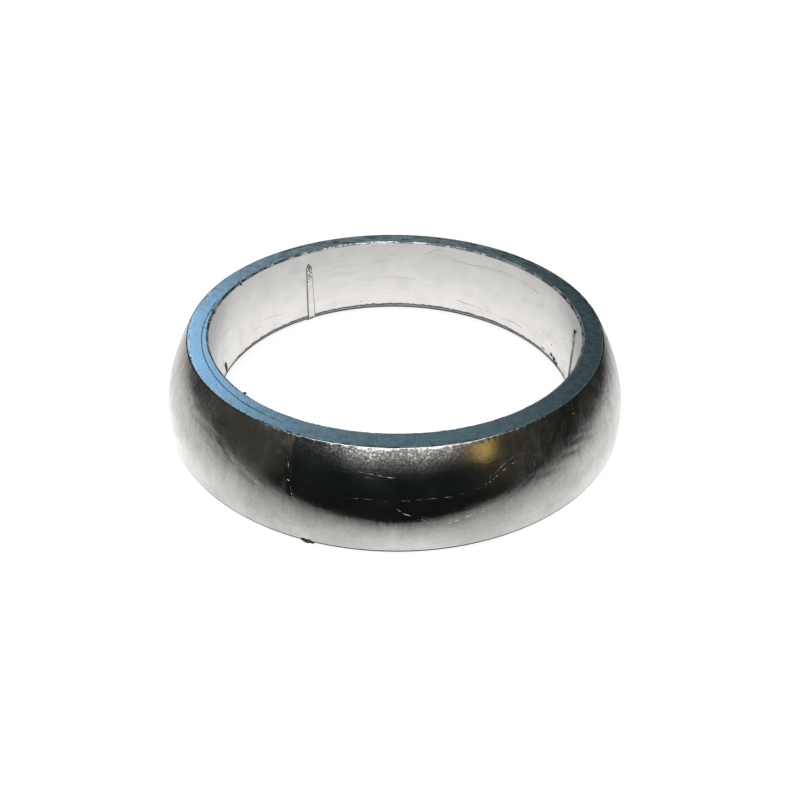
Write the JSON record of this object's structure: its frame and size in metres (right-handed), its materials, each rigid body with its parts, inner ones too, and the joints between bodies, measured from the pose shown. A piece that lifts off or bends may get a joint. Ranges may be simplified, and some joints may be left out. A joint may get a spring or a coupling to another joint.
{
  "type": "exhaust ring gasket",
  "caption": "Domed ring of pressed graphite that seals the ball joint between two exhaust pipes, with low crush ribs down its bore.",
  "frame": {"origin": "centre of the flat bottom face, on the ring's axis", "axes": "+Z along the axis, from the wide flat foot to the narrow flat top; +X close to one crush rib"},
  "size_m": [0.068, 0.068, 0.0134],
  "materials": {
    "graphite": "pressed graphite, semi-gloss grey with a metallic sheen, fine creases and scratches"
  },
  "bodies": {
    "root": {"seal_ring": "graphite"}
  },
  "joints": []
}
